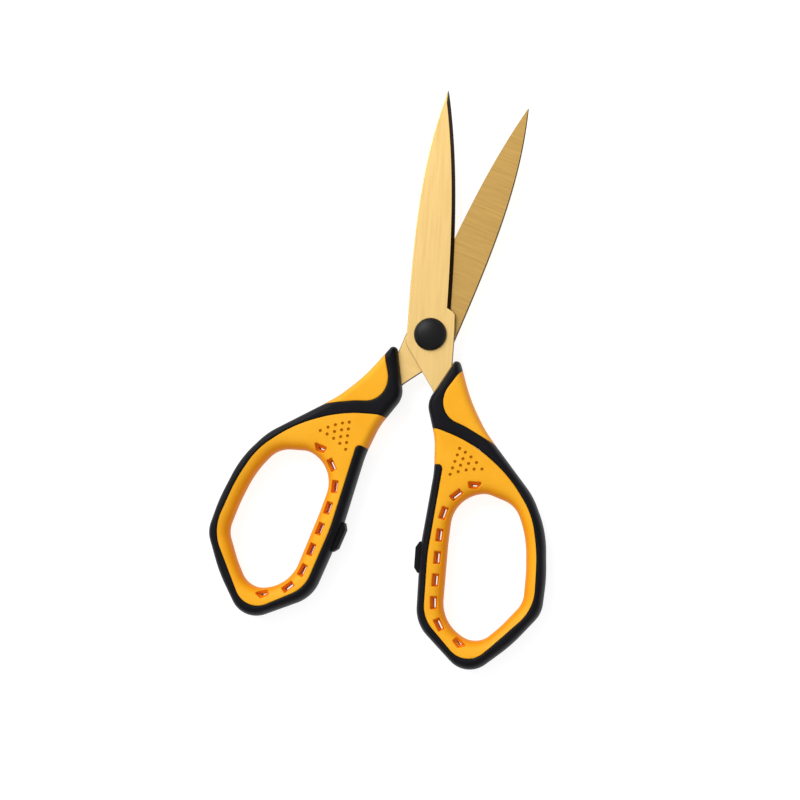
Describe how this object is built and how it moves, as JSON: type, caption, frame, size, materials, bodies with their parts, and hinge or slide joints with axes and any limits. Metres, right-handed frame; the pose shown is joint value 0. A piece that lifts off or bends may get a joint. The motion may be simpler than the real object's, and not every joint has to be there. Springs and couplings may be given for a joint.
{
  "type": "office scissors",
  "caption": "Office scissors with pointed gold blades on a capped pivot, and hard yellow handles edged with black soft grip round closed finger loops.",
  "frame": {"origin": "on the pivot axis, in the plane that the scissors lie on, which is the flat of the rear pivot cap and the rear faces of both handles", "axes": "+Y along the middle of the open blades towards their tips, +Z out of the front face, +X to the right seen from the front with the tips up"},
  "size_m": [0.1258, 0.205, 0.011],
  "materials": {
    "blade_gold": "gold-coloured hard coating on brushed steel, satin",
    "handle_yellow": "satin moulded hard plastic",
    "grip_black": "satin thermoplastic rubber",
    "cap_black": "matt moulded plastic",
    "pivot_steel": "plain turned steel",
    "spacer_nylon": "natural nylon"
  },
  "bodies": {
    "front_half": {"front_blade": "blade_gold", "right_handle_core": "handle_yellow", "right_soft_grip": "grip_black", "right_stop_bumper": "grip_black", "pivot_screw": "pivot_steel", "front_washer": "pivot_steel", "blade_spacer": "spacer_nylon", "spring_washer": "pivot_steel", "pivot_nut": "pivot_steel", "front_pivot_cap": "cap_black", "rear_pivot_cap": "cap_black"},
    "rear_half": {"rear_blade": "blade_gold", "left_handle_core": "handle_yellow", "left_soft_grip": "grip_black", "left_stop_bumper": "grip_black"}
  },
  "joints": [
    {"name": "blade_pivot", "type": "hinge", "parent": "front_half", "child": "rear_half", "pos_m": [0, 0, 0], "axis": [0, 0, -1], "range_deg": [-19.4, 68]}
  ]
}
